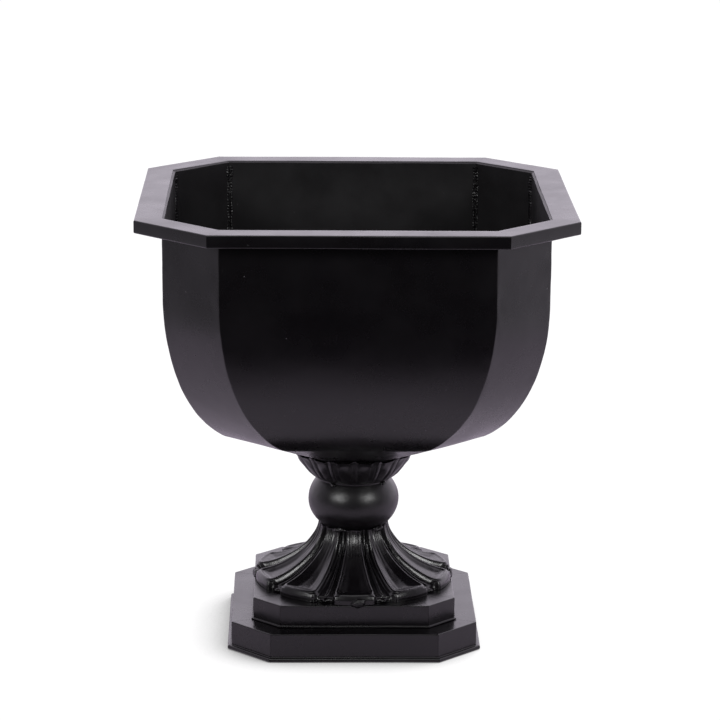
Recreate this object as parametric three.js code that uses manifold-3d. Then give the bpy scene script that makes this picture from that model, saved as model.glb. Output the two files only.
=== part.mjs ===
// An urn planter of painted iron: a welded sheet bowl with a tube rim, carried by a cast leaf cup,
// knop and petalled foot on a stepped plinth. Millimetres, +Z up, origin on the floor under the axis.
import * as THREE from 'three';
import { mergeVertices } from 'three/addons/utils/BufferGeometryUtils.js';
import Module from 'manifold-3d';

// ---- Driving dimensions -------------------------------------------------------------------------

// Heights of the parts, from the floor up
const LOWER_TIER_HEIGHT = 26.5;
const UPPER_TIER_HEIGHT = 20.8;
const FOOT_HEIGHT = 54;
const KNOP_HEIGHT = 44;
const CUP_HEIGHT = 27; // up to the ring that the bowl's floor sits on
const BOWL_DEPTH = 246.2;

// Rim of rectangular tube
const RIM_WIDTH = 400; // across the outer flats
const RIM_CORNER_CUT = 67; // leg of the cut corner, at the outer face
const RIM_TUBE_WIDTH = 25;
const RIM_TUBE_HEIGHT = 12;
const RIM_TUBE_WALL = 1.2;
const RIM_TUBE_ROUND = 1.6; // radius of the tube's outer edges

// Bowl of sheet
const SHEET = 2;
const BOWL_STRAIGHT = 74; // upright part of the wall, below the rim's top
const BEND_TURN = 67; // degrees of the ellipse that the bend below it follows
const BEND_DRAW = 54; // how far a wide panel comes in over the bend
const BEND_DRAW_CORNER = 77.5; // the same on a corner panel
const UNDERSIDE_RISE = 30.4; // height of the sloping underside, from the floor to the bend
const BOWL_FLOOR_HALF = 50; // regular octagon at the bottom, centre to flat
const BEND_STEPS = 12; // flat strips in the bend of a panel
const FLOOR_PLATE = 3;
const DRAIN_RADIUS = 9;
const SEAM_LEG = 4; // leg of the weld inside a bowl corner
const SEAM_THROAT = 1.7;

// Leaf cup
const LEAVES = 8;
const CUP_TOP_RADIUS = 57.5;
const CUP_NECK_RADIUS = 34.6;
const CUP_COLLAR = 1.5; // plain ring above the knop
const CUP_SPREAD = 0.62; // exponent of the cup's curve
const CUP_WALL = 4.5;
const CUP_BORE = 16;
const CUP_LEDGE = 5; // width of the cup's ledge under the bowl's floor
const LEAF_TIP = 2; // thickness of a leaf's tip
const LEAF_RIB = 1.3; // height of the rib down the middle of a leaf
const LEAF_FOLD = 0.8; // height of the soft fold where two leaves meet
const LEAF_BELLY = 0.9; // how far a leaf swells between its rib and a fold
const LEAF_DIP = 2.6; // how far a leaf's edge stays below the bowl between its rib and a fold

// Knop
const KNOP_RADIUS = 43;
const KNOP_MIDDLE = 23.7; // height of the widest ring above the knop's foot
const KNOP_HALF_BULGE = 34; // vertical semi-axis of the ball
const KNOP_WALL = 5;
const KNOP_STEPS = 12; // rings of facets outside
const KNOP_BORE_STEPS = 4; // rings of facets inside
const KNOP_COLUMNS = 36;

// Petalled foot
const PETALS = 10;
const FOOT_NECK_RADIUS = 33.5;
const FOOT_RADIUS = 93;
const FOOT_EDGE = 10.5; // height of the upright edge
const FOOT_EDGE_ROUND = 2.3; // how far the edge's widest line lies below its top
const FOOT_EDGE_BELLY = 1; // how far that line stands out
const FOOT_EDGE_SKIRT = 0.4; // the same at the bottom
const FOOT_OVERRUN = 3; // how far the hollow curve would run on past the edge
const FOOT_CURVE = 1.7; // exponent of the hollow curve: 2 is an ellipse
const FOOT_WALL = 6;
const FOOT_RECESS = 5; // height of the upright part of the hollow underneath
const PETAL_SHARE = 0.7; // part of the pitch that a petal takes
const PETAL_BEAD = 4.6; // width of the raised border
const PETAL_DISH = 3.2; // depth of the hollow face
const DART_GROOVE = 2.4; // depth beside the dart
const DART_NOTCH = 5; // how far the groove cuts into the outline
const DART_HALF = 0.22; // half the dart's width, as part of half a pitch

// Plinth of folded sheet
const FOOT_MARGIN = 1.5; // ledge that the upper tier keeps outside the foot
const UPPER_TIER_CORNER_CUT = 25.2;
const TIER_STEP = 20.2; // width of the ledge between the tiers
const UPPER_FLANGE = 32;
const LOWER_FLANGE = 30;
const UPPER_LIP = 3; // out-turned foot of the upper tier
const BASE_LIP = 3.9; // out-turned hem on the floor
const BASE_LIP_HEIGHT = 4;
const FOLD_ROUND = 1.3; // outer radius of a fold

// Welds between the castings, and the places round the axis where they lie, in degrees
const TACK = { out: 2.6, along: 4.2, up: 3 };
const TOE_TACK = { out: 3, along: 6, up: 5.5 };
const TACK_STANDOFF = 1.1; // how far a weld's middle lies outside a neck
const TOE_TACK_SET_BACK = 0.6; // how far it lies inside the foot's edge
const CUP_TACKS = [236, 322, 80];
const FOOT_TACKS = [247, 312, 95];
const PLINTH_TACKS = [272, 0, 90, 180];

// Fits
const SEAT = 0.3; // between two castings, and between a casting and the sheet
const MITRE_GAP = 0.3; // between two mitred lengths
const SEAM_GAP = 0.35; // between a weld and the metal that it lies on

// ---- Places worked out from the dimensions ------------------------------------------------------

const UPPER_TIER_Z = LOWER_TIER_HEIGHT + SEAT;
const FOOT_Z = UPPER_TIER_Z + UPPER_TIER_HEIGHT + SEAT;
const KNOP_Z = FOOT_Z + FOOT_HEIGHT + SEAT;
const CUP_Z = KNOP_Z + KNOP_HEIGHT + SEAT;
const BOWL_Z = CUP_Z + CUP_HEIGHT + SEAT;
const RIM_TOP = BOWL_Z + BOWL_DEPTH;

const MITRE = Math.tan(Math.PI / 8);
const SIDE_NAMES = [
  'right', 'back_right', 'back', 'back_left', 'left', 'front_left', 'front', 'front_right',
];

// An octagon with four wide sides and four corner sides, by its half width and its cut corner
function octagon(half, cut) {
  return {
    wide: { distance: half, halfLength: half - cut },
    corner: { distance: (2 * half - cut) / Math.SQRT2, halfLength: cut / Math.SQRT2 },
  };
}

// The same octagon drawn in by an even distance
function inset(outline, distance) {
  const shrink = (side) => ({
    distance: side.distance - distance,
    halfLength: side.halfLength - distance * MITRE,
  });
  return { wide: shrink(outline.wide), corner: shrink(outline.corner) };
}

function sideOf(outline, index) {
  return index % 2 === 0 ? outline.wide : outline.corner;
}

// ---- Materials ----------------------------------------------------------------------------------

const paint = (colour, roughness) => () =>
  new THREE.MeshStandardMaterial({ color: colour, roughness, metalness: 0.1 });
const sheetPaint = paint(0x121114, 0.42);
const tubePaint = paint(0x151417, 0.4);
const castPaint = paint(0x131215, 0.38);
const weldPaint = paint(0x17161a, 0.5);

// ---- Shared ways of making a solid --------------------------------------------------------------

function solid(points, triangles) {
  const geometry = new THREE.BufferGeometry();
  geometry.setAttribute('position', new THREE.Float32BufferAttribute(points.flat(), 3));
  geometry.setIndex(triangles.flat());
  return geometry;
}

// Skins rings of points. Each ring runs anticlockwise seen from above and lies below the one before.
// A loop joins the last ring to the first; otherwise the two end rings are capped.
function skin(rings, loop) {
  const count = rings[0].length;
  const triangles = [];
  const bands = loop ? rings.length : rings.length - 1;
  for (let i = 0; i < bands; i += 1) {
    const here = i * count;
    const next = ((i + 1) % rings.length) * count;
    for (let j = 0; j < count; j += 1) {
      const k = (j + 1) % count;
      triangles.push([here + j, next + j, next + k], [here + j, next + k, here + k]);
    }
  }
  if (!loop) {
    const last = (rings.length - 1) * count;
    for (let j = 1; j < count - 1; j += 1) {
      triangles.push([0, j, j + 1], [last, last + j + 1, last + j]);
    }
  }
  return solid(rings.flat(), triangles);
}

// A straight length of one section, mitred at both ends to meet the next sides of an octagon.
// The section's x is measured outward from the side's face and its y is up.
function mitredLength(section, side) {
  const geometry = new THREE.ExtrudeGeometry(section, { depth: 1, bevelEnabled: false, curveSegments: 3 });
  const place = geometry.attributes.position;
  const trim = MITRE_GAP / 2 / Math.cos(Math.PI / 8);
  for (let i = 0; i < place.count; i += 1) {
    const outward = place.getX(i);
    const half = side.halfLength + outward * MITRE - trim;
    const end = place.getZ(i) > 0.5 ? -1 : 1;
    place.setXYZ(i, side.distance + outward, end * half, place.getY(i));
  }
  return geometry;
}

function named(name, geometry, material) {
  const mesh = new THREE.Mesh(geometry, material);
  mesh.name = name;
  return mesh;
}

// Eight meshes round the axis, one for each side of an octagon
function ringOfSides(prefix, makeGeometry, makeMaterial) {
  const group = new THREE.Group();
  SIDE_NAMES.forEach((sideName, index) => {
    const mesh = named(`${prefix}_${sideName}`, makeGeometry(index), makeMaterial());
    mesh.rotation.z = (index * Math.PI) / 4;
    group.add(mesh);
  });
  return group;
}

// ---- Rim ----------------------------------------------------------------------------------------

function roundedBox(left, right, bottom, top, radius) {
  const path = new THREE.Shape();
  path.moveTo(left + radius, bottom);
  path.lineTo(right - radius, bottom);
  path.absarc(right - radius, bottom + radius, radius, -Math.PI / 2, 0);
  path.lineTo(right, top - radius);
  path.absarc(right - radius, top - radius, radius, 0, Math.PI / 2);
  path.lineTo(left + radius, top);
  path.absarc(left + radius, top - radius, radius, Math.PI / 2, Math.PI);
  path.lineTo(left, bottom + radius);
  path.absarc(left + radius, bottom + radius, radius, Math.PI, 1.5 * Math.PI);
  return path;
}

const rimOutline = octagon(RIM_WIDTH / 2, RIM_CORNER_CUT);

function makeRim() {
  const wall = RIM_TUBE_WALL;
  const tube = roundedBox(-RIM_TUBE_WIDTH, 0, 0, RIM_TUBE_HEIGHT, RIM_TUBE_ROUND);
  const bore = new THREE.Path();
  bore.moveTo(wall - RIM_TUBE_WIDTH, wall);
  bore.lineTo(wall - RIM_TUBE_WIDTH, RIM_TUBE_HEIGHT - wall);
  bore.lineTo(-wall, RIM_TUBE_HEIGHT - wall);
  bore.lineTo(-wall, wall);
  tube.holes.push(bore);
  const rim = ringOfSides('rim', (index) => mitredLength(tube, sideOf(rimOutline, index)), tubePaint);
  rim.position.z = RIM_TOP - RIM_TUBE_HEIGHT;
  return rim;
}

// ---- Bowl ---------------------------------------------------------------------------------------

const mouth = inset(rimOutline, RIM_TUBE_WIDTH + SEAT);

// Rows of the bowl's wall from the mouth down, on its outer face (depth 0) or its inner one (depth
// SHEET): the height above the bowl's underside, and the distance of a wide and of a corner side
function bowlRows(depth) {
  const turn = THREE.MathUtils.degToRad(BEND_TURN);
  const bendHeight = (BOWL_DEPTH - UNDERSIDE_RISE - BOWL_STRAIGHT) / Math.sin(turn);
  const reach = {
    wide: BEND_DRAW / (1 - Math.cos(turn)),
    corner: BEND_DRAW_CORNER / (1 - Math.cos(turn)),
  };
  const row = (below, wide, corner, slopes) => ({
    z: BOWL_DEPTH - below + (depth * (Math.sin(slopes.wide) + Math.sin(slopes.corner))) / 2,
    wide: wide - depth * Math.cos(slopes.wide),
    corner: corner - depth * Math.cos(slopes.corner),
    slopes,
  });
  const upright = { wide: 0, corner: 0 };
  const rows = [row(0, mouth.wide.distance, mouth.corner.distance, upright)];
  let slopes = upright;
  for (let step = 0; step <= BEND_STEPS; step += 1) {
    const angle = (step / BEND_STEPS) * turn;
    slopes = {
      wide: Math.atan((reach.wide / bendHeight) * Math.tan(angle)),
      corner: Math.atan((reach.corner / bendHeight) * Math.tan(angle)),
    };
    rows.push(row(
      BOWL_STRAIGHT + bendHeight * Math.sin(angle),
      mouth.wide.distance - reach.wide * (1 - Math.cos(angle)),
      mouth.corner.distance - reach.corner * (1 - Math.cos(angle)),
      slopes));
  }
  rows.push(row(BOWL_DEPTH, BOWL_FLOOR_HALF, BOWL_FLOOR_HALF, slopes));
  return rows;
}

// Height of the bowl's sloping underside above its lowest point, at a place seen from above
function undersideAt(x, y) {
  const draws = { wide: BEND_DRAW, corner: BEND_DRAW_CORNER };
  const heights = SIDE_NAMES.map((sideName, index) => {
    const run = sideOf(mouth, index).distance - sideOf(draws, index) - BOWL_FLOOR_HALF;
    const angle = (index * Math.PI) / 4;
    const outward = x * Math.cos(angle) + y * Math.sin(angle);
    return ((outward - BOWL_FLOOR_HALF) * UNDERSIDE_RISE) / run;
  });
  return Math.max(0, ...heights);
}

// Distance from the axis to the edge of the bowl's octagonal floor, in a direction
function floorEdgeAt(angle) {
  const fromFlat = angle - (Math.round(angle / (Math.PI / 4)) * Math.PI) / 4;
  return BOWL_FLOOR_HALF / Math.cos(fromFlat);
}

// Half the width of a panel at a row, where its plane meets the planes of the panels beside it
function halfWidthAt(row, isWide) {
  const own = isWide ? row.wide : row.corner;
  const other = isWide ? row.corner : row.wide;
  return other * Math.SQRT2 - own;
}

function bowlPanel(isWide) {
  const outer = bowlRows(0);
  const inner = bowlRows(SHEET);
  const trim = MITRE_GAP / 2 / Math.cos(Math.PI / 8);
  const rings = outer.map((row, index) => {
    const out = isWide ? row.wide : row.corner;
    const inn = isWide ? inner[index].wide : inner[index].corner;
    const outHalf = halfWidthAt(row, isWide) - trim;
    const innHalf = halfWidthAt(inner[index], isWide) - trim;
    return [
      [out, -outHalf, row.z],
      [out, outHalf, row.z],
      [inn, innHalf, inner[index].z],
      [inn, -innHalf, inner[index].z],
    ];
  });
  return skin(rings, false);
}

// The weld in the corner between a wide panel, at angle 0, and the corner panel beyond it
function seamWeld() {
  const rows = bowlRows(SHEET).slice(0, -1);
  rows[0].z -= SEAM_LEG;
  const rings = rows.map((row) => {
    const seam = [row.wide, halfWidthAt(row, true)];
    const alongWide = [0, -1];
    const alongCorner = [-Math.SQRT1_2, Math.SQRT1_2];
    const inward = [-Math.cos(Math.PI / 8), -Math.sin(Math.PI / 8)];
    const clear = SEAM_GAP / Math.cos(row.slopes.corner);
    const at = (direction, reach, lift) => [
      seam[0] + direction[0] * reach + inward[0] * lift,
      seam[1] + direction[1] * reach + inward[1] * lift,
      row.z,
    ];
    return [
      at(alongWide, SEAM_LEG, clear),
      at(alongWide, 0, clear / Math.cos(Math.PI / 8)),
      at(alongCorner, SEAM_LEG, clear),
      at(alongCorner, SEAM_LEG / 2, clear + SEAM_THROAT * 0.8),
      at(alongWide, 0, clear + SEAM_THROAT),
      at(alongWide, SEAM_LEG / 2, clear + SEAM_THROAT * 0.8),
    ];
  });
  return skin(rings, false);
}

function floorPlate() {
  const plate = new THREE.Shape();
  const half = BOWL_FLOOR_HALF - SHEET - SEAT;
  for (let corner = 0; corner < 8; corner += 1) {
    const angle = ((corner + 0.5) * Math.PI) / 4;
    const reach = half / Math.cos(Math.PI / 8);
    const point = [reach * Math.cos(angle), reach * Math.sin(angle)];
    if (corner === 0) plate.moveTo(...point);
    else plate.lineTo(...point);
  }
  const drain = new THREE.Path();
  drain.absarc(0, 0, DRAIN_RADIUS, 0, 2 * Math.PI, true);
  plate.holes.push(drain);
  return new THREE.ExtrudeGeometry(plate, { depth: FLOOR_PLATE, bevelEnabled: false, curveSegments: 12 });
}

function makeBowl() {
  const bowl = new THREE.Group();
  bowl.add(ringOfSides('bowl', (index) => bowlPanel(index % 2 === 0), sheetPaint));
  const seams = new THREE.Group();
  SIDE_NAMES.forEach((sideName, index) => {
    const weld = named(`seam_weld_${index + 1}`, seamWeld(), weldPaint());
    weld.rotation.z = (Math.floor(index / 2) * Math.PI) / 2;
    if (index % 2 === 1) {
      weld.geometry = mirrored(weld.geometry);
    }
    seams.add(weld);
  });
  bowl.add(seams);
  bowl.add(named('bowl_floor', floorPlate(), sheetPaint()));
  bowl.position.z = BOWL_Z;
  return bowl;
}

// The geometry reflected in the XZ plane, with its faces turned back outward
function mirrored(geometry) {
  const copy = geometry.clone().scale(1, -1, 1);
  const index = copy.index;
  for (let i = 0; i < index.count; i += 3) {
    const second = index.getX(i + 1);
    index.setX(i + 1, index.getX(i + 2));
    index.setX(i + 2, second);
  }
  return copy;
}

// ---- Castings -----------------------------------------------------------------------------------

// A number that rises smoothly from 0 at low to 1 at high
function rise(low, high, value) {
  const t = Math.min(Math.max((value - low) / (high - low), 0), 1);
  return t * t * (3 - 2 * t);
}

// A hump of height 1 round a centre, 0 beyond its reach
function hump(centre, reach, value) {
  return 1 - rise(0, reach, Math.abs(value - centre));
}

// A ring of points round the axis; the profile gives radius and height at each angle
function ringAround(angles, profile) {
  return angles.map((angle) => {
    const { r, z } = profile(angle);
    return [r * Math.cos(angle), r * Math.sin(angle), z];
  });
}

// The angles of a repeating pattern, from its stations across one pitch (-1 to 1, centre at 0)
function patternAngles(count, stations, start) {
  const pitch = (2 * Math.PI) / count;
  const angles = [];
  for (let copy = 0; copy < count; copy += 1) {
    stations.forEach((station) => angles.push(start + (copy + station / 2) * pitch));
  }
  return angles;
}

// Where an angle lies across its pitch, from -1 to 1
function acrossPitch(count, start, angle) {
  const pitch = (2 * Math.PI) / count;
  const turns = (angle - start) / pitch;
  return 2 * (turns - Math.round(turns));
}

const FRONT = -Math.PI / 2;

// The foot's hollow curve from the neck (t = 0) to its outer edge (t = 1)
function footCurve(t) {
  const end = FOOT_RADIUS + FOOT_OVERRUN;
  const reach = end - FOOT_NECK_RADIUS;
  const drop = FOOT_HEIGHT - FOOT_EDGE + 1;
  const power = 2 / FOOT_CURVE;
  const last = Math.acos((FOOT_OVERRUN / reach) ** (1 / power));
  const angle = t * last;
  return {
    r: end - reach * Math.cos(angle) ** power,
    z: FOOT_HEIGHT - drop * Math.sin(angle) ** power,
  };
}

// The petals' relief on the foot: how far the surface lies below the hollow curve
function petalRelief(t, across, radius) {
  const edge = PETAL_SHARE;
  const pitchLength = (Math.PI * radius) / PETALS; // half a pitch, along the ring
  const bead = Math.min(PETAL_BEAD / pitchLength, 0.24);
  const inFace = rise(0, bead * 0.7, edge - bead * 0.6 - Math.abs(across));
  const fromEnd = 1 - rise(1 - 0.13, 1 - 0.04, t);
  const dish = PETAL_DISH * rise(0.05, 0.75, t) * inFace * fromEnd;
  const inGap = rise(edge - bead * 0.35, edge + 0.1, Math.abs(across));
  const dart = hump(1, DART_HALF, Math.abs(across));
  const groove = DART_GROOVE * (0.45 + 0.55 * t) * inGap * (1 - 0.85 * dart);
  return dish + groove;
}

const FOOT_STATIONS = [
  -1, -0.9, -0.79, -0.7, -0.62, -0.52, -0.36, 0, 0.36, 0.52, 0.62, 0.7, 0.79, 0.9,
];
const FOOT_ROWS = [0, 0.12, 0.24, 0.36, 0.48, 0.6, 0.7, 0.79, 0.86, 0.91, 0.95, 1];

// The foot's casting. Grow moves its whole surface outward, for cutting clearance round it.
function footCasting(grow) {
  const angles = patternAngles(PETALS, FOOT_STATIONS, FRONT);
  const outline = (across) => {
    const inGap = rise(PETAL_SHARE - 0.06, PETAL_SHARE + 0.1, Math.abs(across));
    return DART_NOTCH * inGap * (1 - 0.8 * hump(1, DART_HALF, Math.abs(across)));
  };
  const upper = FOOT_ROWS.map((t) =>
    ringAround(angles, (angle) => {
      const across = acrossPitch(PETALS, FRONT, angle);
      const here = footCurve(t);
      const drop = petalRelief(t, across, here.r) - grow;
      const notch = outline(across) * rise(0.6, 1, t);
      const lean = 0.75 * (1 - t);
      return { r: here.r - notch - drop * lean, z: here.z - drop * (1 - 0.35 * lean) };
    }));
  const edge = (height, draw) =>
    ringAround(angles, (angle) => {
      const across = acrossPitch(PETALS, FRONT, angle);
      return { r: FOOT_RADIUS + grow + draw - outline(across), z: height };
    });
  const hollow = (t, z) => ringAround(angles, () => ({ r: footCurve(t).r - FOOT_WALL, z }));
  return skin(
    [
      ...upper,
      edge(FOOT_EDGE - FOOT_EDGE_ROUND, FOOT_EDGE_BELLY),
      edge(-grow, FOOT_EDGE_SKIRT),
      hollow(1, -grow),
      hollow(1, FOOT_RECESS),
      hollow(0.6, footCurve(0.6).z - FOOT_WALL),
      hollow(0, FOOT_HEIGHT + grow),
    ],
    true);
}

// Radius of the leaf cup's outside, from the collar (t = 0) to the leaf tips (t = 1)
function cupRadius(t) {
  return CUP_NECK_RADIUS + (CUP_TOP_RADIUS - CUP_NECK_RADIUS) * t ** CUP_SPREAD;
}

const LEAF_STATIONS = [-1, -0.82, -0.62, -0.4, -0.16, 0, 0.16, 0.4, 0.62, 0.82];
const CUP_ROWS = [1, 0.9, 0.76, 0.6, 0.44, 0.28, 0.14, 0.05, 0];

// The leaf cup's casting. The tips of its leaves stand up round the bowl's sloping underside.
// Grow moves its outer surface outward, for cutting clearance round it.
function cupCasting(grow) {
  const angles = patternAngles(LEAVES, LEAF_STATIONS, FRONT);
  const tipHeight = (angle, r) =>
    CUP_HEIGHT + undersideAt(r * Math.cos(angle), r * Math.sin(angle));
  const outer = CUP_ROWS.map((t) =>
    ringAround(angles, (angle) => {
      const across = Math.abs(acrossPitch(LEAVES, FRONT, angle));
      const rib = hump(0, 0.16, across);
      const fold = hump(1, 0.38, across);
      const face = 1 - Math.max(rib, fold);
      const raised = (LEAF_RIB * rib + LEAF_FOLD * fold) * rise(0, 0.35, t);
      const belly = LEAF_BELLY * face * Math.sin(Math.PI * t);
      const dip = LEAF_DIP * face * rise(0.72, 1, t);
      const top = tipHeight(angle, CUP_TOP_RADIUS) - CUP_COLLAR;
      return { r: cupRadius(t) + raised + belly + grow, z: CUP_COLLAR + top * t - dip };
    }));
  const ring = (r, z) => ringAround(angles, () => ({ r, z }));
  const ledge = BOWL_FLOOR_HALF - CUP_LEDGE;
  const middle = CUP_COLLAR + (CUP_HEIGHT - CUP_COLLAR) * 0.5;
  return skin(
    [
      ring(ledge, CUP_HEIGHT),
      ringAround(angles, (angle) => ({
        r: Math.min(floorEdgeAt(angle), CUP_TOP_RADIUS - LEAF_TIP),
        z: CUP_HEIGHT - SEAT,
      })),
      ...outer,
      ring(CUP_NECK_RADIUS + grow, 0),
      ring(CUP_BORE, 0),
      ring(CUP_BORE, CUP_WALL),
      ring(CUP_NECK_RADIUS - CUP_WALL, CUP_WALL),
      ring(cupRadius(0.5) - CUP_WALL, middle),
    ],
    true);
}

// The knop: a hollow ball, flattened a little and open at both ends
function knopCasting(grow) {
  const low = -Math.asin(KNOP_MIDDLE / KNOP_HALF_BULGE);
  const high = Math.asin((KNOP_HEIGHT - KNOP_MIDDLE) / KNOP_HALF_BULGE);
  const arc = (radius, bulge, steps) => {
    const points = [];
    for (let step = 0; step <= steps; step += 1) {
      const angle = low + ((high - low) * step) / steps;
      points.push(new THREE.Vector2(radius * Math.cos(angle), KNOP_MIDDLE + bulge * Math.sin(angle)));
    }
    return points;
  };
  const outside = arc(KNOP_RADIUS + grow, KNOP_HALF_BULGE + grow, KNOP_STEPS);
  const inside = arc(KNOP_RADIUS - KNOP_WALL, KNOP_HALF_BULGE, KNOP_BORE_STEPS);
  inside[0].y = outside[0].y;
  inside[KNOP_BORE_STEPS].y = outside[KNOP_STEPS].y;
  const profile = [...outside, ...inside.reverse(), outside[0].clone()];
  return new THREE.LatheGeometry(profile, KNOP_COLUMNS).rotateX(Math.PI / 2);
}

// ---- Welds that hold the castings ---------------------------------------------------------------

const wasm = await Module();
wasm.setup();

function toManifold(geometry) {
  const bare = new THREE.BufferGeometry();
  bare.setAttribute('position', geometry.attributes.position.clone());
  if (geometry.index) bare.setIndex(geometry.index.clone());
  const merged = mergeVertices(bare, 1e-4);
  return new wasm.Manifold(new wasm.Mesh({
    numProp: 3,
    vertProperties: new Float32Array(merged.attributes.position.array),
    triVerts: new Uint32Array(merged.index.array),
  }));
}

function fromManifold(manifold) {
  const mesh = manifold.getMesh();
  const geometry = new THREE.BufferGeometry();
  geometry.setAttribute('position', new THREE.Float32BufferAttribute(mesh.vertProperties, 3));
  geometry.setIndex(Array.from(mesh.triVerts));
  return geometry;
}

// A lump of weld metal in the groove between two castings, cut to lie clear of both
function tack(size, radius, height, angle, neighbours) {
  const lump = new THREE.SphereGeometry(1, 8, 5).scale(size.out, size.along, size.up);
  lump.translate(radius, 0, height).rotateZ(angle);
  const body = neighbours.reduce((rest, other) => rest.subtract(other), toManifold(lump));
  return fromManifold(body);
}

function makeTacks() {
  const lifted = (geometry, z) => toManifold(geometry.translate(0, 0, z));
  const cup = lifted(cupCasting(SEAT), CUP_Z);
  const knop = lifted(knopCasting(SEAT), KNOP_Z);
  const foot = lifted(footCasting(SEAT), FOOT_Z);
  const group = new THREE.Group();
  const add = (prefix, angles, radius, height, size, neighbours) =>
    angles.forEach((degrees, index) => {
      const angle = THREE.MathUtils.degToRad(degrees);
      const lump = tack(size, radius, height, angle, neighbours);
      group.add(named(`${prefix}_${index + 1}`, lump, weldPaint()));
    });
  const cupTackRadius = CUP_NECK_RADIUS + TACK_STANDOFF;
  const footTackRadius = FOOT_NECK_RADIUS + TACK_STANDOFF;
  const toeTackRadius = FOOT_RADIUS - TOE_TACK_SET_BACK;
  add('tack_cup_knop', CUP_TACKS, cupTackRadius, CUP_Z, TACK, [cup, knop]);
  add('tack_knop_foot', FOOT_TACKS, footTackRadius, KNOP_Z, TACK, [knop, foot]);
  const across = 3 * FOOT_RADIUS;
  const plate = new THREE.BoxGeometry(across, across, UPPER_TIER_HEIGHT);
  const ledge = toManifold(plate.translate(0, 0, FOOT_Z - UPPER_TIER_HEIGHT / 2));
  add('tack_foot_plinth', PLINTH_TACKS, toeTackRadius, FOOT_Z, TOE_TACK, [foot, ledge]);
  return group;
}

// ---- Plinth -------------------------------------------------------------------------------------

// The folded section of a tier: a ledge to the inside, an upright face and an out-turned lip.
// x is measured outward from the upright face, and y up from the tier's underside.
function tierSection(height, flange, lip, lipHeight) {
  const section = new THREE.Shape();
  const round = Math.min(lipHeight / 2, lip) * 0.8;
  section.moveTo(-SHEET, 0);
  section.lineTo(lip - round, 0);
  section.absarc(lip - round, round, round, -Math.PI / 2, 0);
  section.lineTo(lip, lipHeight - round);
  section.absarc(lip - round, lipHeight - round, round, 0, Math.PI / 2);
  section.lineTo(0, lipHeight);
  section.lineTo(0, height - FOLD_ROUND);
  section.absarc(-FOLD_ROUND, height - FOLD_ROUND, FOLD_ROUND, 0, Math.PI / 2);
  section.lineTo(-flange, height);
  section.lineTo(-flange, height - SHEET);
  section.lineTo(-SHEET, height - SHEET);
  return section;
}

function makePlinth() {
  const upperOutline = octagon(FOOT_RADIUS + FOOT_MARGIN, UPPER_TIER_CORNER_CUT);
  const lowerOutline = inset(upperOutline, -TIER_STEP);
  const upperSection = tierSection(UPPER_TIER_HEIGHT, UPPER_FLANGE, UPPER_LIP, SHEET);
  const lowerSection = tierSection(LOWER_TIER_HEIGHT, LOWER_FLANGE, BASE_LIP, BASE_LIP_HEIGHT);
  const upper = ringOfSides(
    'upper_tier', (index) => mitredLength(upperSection, sideOf(upperOutline, index)), sheetPaint);
  upper.position.z = UPPER_TIER_Z;
  const lower = ringOfSides(
    'lower_tier', (index) => mitredLength(lowerSection, sideOf(lowerOutline, index)), sheetPaint);
  const plinth = new THREE.Group();
  plinth.add(lower, upper);
  return plinth;
}

// ---- The planter --------------------------------------------------------------------------------

function makeStem() {
  const stem = new THREE.Group();
  const foot = named('foot', footCasting(0), castPaint());
  const knop = named('knop', knopCasting(0), castPaint());
  const cup = named('leaf_cup', cupCasting(0), castPaint());
  foot.position.z = FOOT_Z;
  knop.position.z = KNOP_Z;
  cup.position.z = CUP_Z;
  stem.add(foot, knop, cup);
  return stem;
}

const planter = new THREE.Group();
planter.add(makePlinth(), makeStem(), makeTacks(), makeBowl(), makeRim());

export default planter;
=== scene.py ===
# %% [markdown]
# # An urn planter in black enamel
# The real planter is welded from 2 mm sheet and rectangular tube, stands on three castings and a
# folded plinth, and is sprayed with satin black enamel. A black object shows almost nothing but
# reflections, so this lesson spends its effort on two things: surfaces that are never quite flat,
# and a white studio for them to reflect.

# %% The frame that every piece is built on
import math
import bpy
import numpy as np
from mathutils import Matrix, Vector, noise


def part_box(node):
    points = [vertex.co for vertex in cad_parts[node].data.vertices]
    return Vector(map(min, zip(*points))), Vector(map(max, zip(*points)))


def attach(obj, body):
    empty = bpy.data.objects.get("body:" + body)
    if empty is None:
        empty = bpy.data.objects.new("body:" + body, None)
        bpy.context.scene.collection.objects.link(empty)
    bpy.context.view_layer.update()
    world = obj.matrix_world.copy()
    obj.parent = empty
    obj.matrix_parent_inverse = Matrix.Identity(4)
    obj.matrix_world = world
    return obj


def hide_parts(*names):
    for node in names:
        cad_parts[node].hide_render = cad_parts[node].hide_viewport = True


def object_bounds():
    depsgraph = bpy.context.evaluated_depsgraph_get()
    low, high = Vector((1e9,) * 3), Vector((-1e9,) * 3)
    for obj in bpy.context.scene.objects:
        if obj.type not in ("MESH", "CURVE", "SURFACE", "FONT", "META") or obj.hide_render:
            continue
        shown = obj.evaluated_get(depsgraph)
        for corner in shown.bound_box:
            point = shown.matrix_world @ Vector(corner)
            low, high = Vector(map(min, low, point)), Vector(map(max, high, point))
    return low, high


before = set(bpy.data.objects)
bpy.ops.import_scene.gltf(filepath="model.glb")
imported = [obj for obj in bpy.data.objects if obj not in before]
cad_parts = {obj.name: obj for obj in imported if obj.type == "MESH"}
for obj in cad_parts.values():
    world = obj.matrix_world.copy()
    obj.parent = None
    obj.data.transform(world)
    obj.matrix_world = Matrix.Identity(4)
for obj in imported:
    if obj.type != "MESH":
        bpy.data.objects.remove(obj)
CAD_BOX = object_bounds()
MM = 0.001
SIDES = ["right", "back_right", "back", "back_left", "left", "front_left", "front", "front_right"]


def box_mm(node):
    low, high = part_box(node)
    return np.array(low) / MM, np.array(high) / MM


BOX_LOW, BOX_HIGH = (np.array(corner) / MM for corner in CAD_BOX)
print("CAD box, mm:", [[round(v / MM, 1) for v in corner] for corner in CAD_BOX])

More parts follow.
